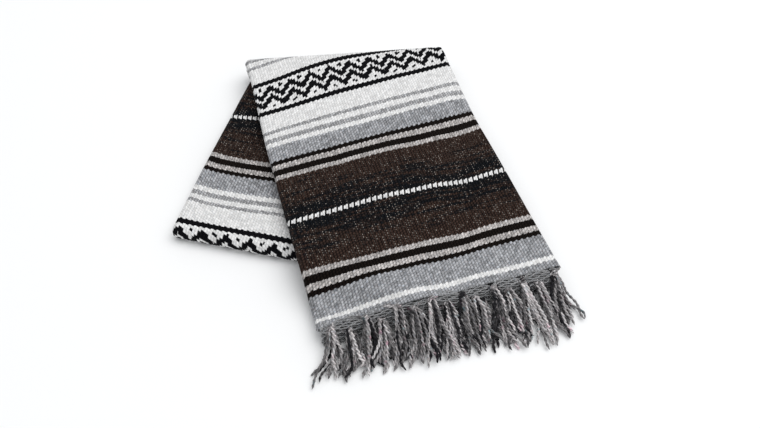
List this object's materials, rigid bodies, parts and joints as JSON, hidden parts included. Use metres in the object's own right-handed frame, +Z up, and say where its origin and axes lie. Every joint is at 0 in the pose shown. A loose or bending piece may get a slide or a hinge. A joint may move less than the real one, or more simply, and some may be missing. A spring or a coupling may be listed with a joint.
{
  "type": "folded mexican blanket",
  "caption": "Striped woven blanket, folded into a strip and folded twice across so that one leg crosses the other, with knotted fringe at its front end.",
  "frame": {"origin": "centre of the flat underside, where the folded blanket rests on a surface", "axes": "+Z up from the surface; +Y away from the fringe, along the upper leg; +X to the right seen from the fringe"},
  "size_m": [0.4915, 0.6388, 0.045],
  "materials": {
    "striped_weave": "thick weft-faced weave in black, brown, white and heather gray stripes, matt",
    "hidden_weave": "the same weave on the layers inside the fold, matt",
    "fringe_yarn": "soft heather gray yarn, knotted in bundles, ends loose"
  },
  "bodies": {
    "root": {"outer_cloth_upper": "striped_weave", "outer_cloth_lower": "striped_weave", "hidden_layers": "hidden_weave", "fringe_near_end": "fringe_yarn", "fringe_far_end": "fringe_yarn"}
  },
  "joints": []
}
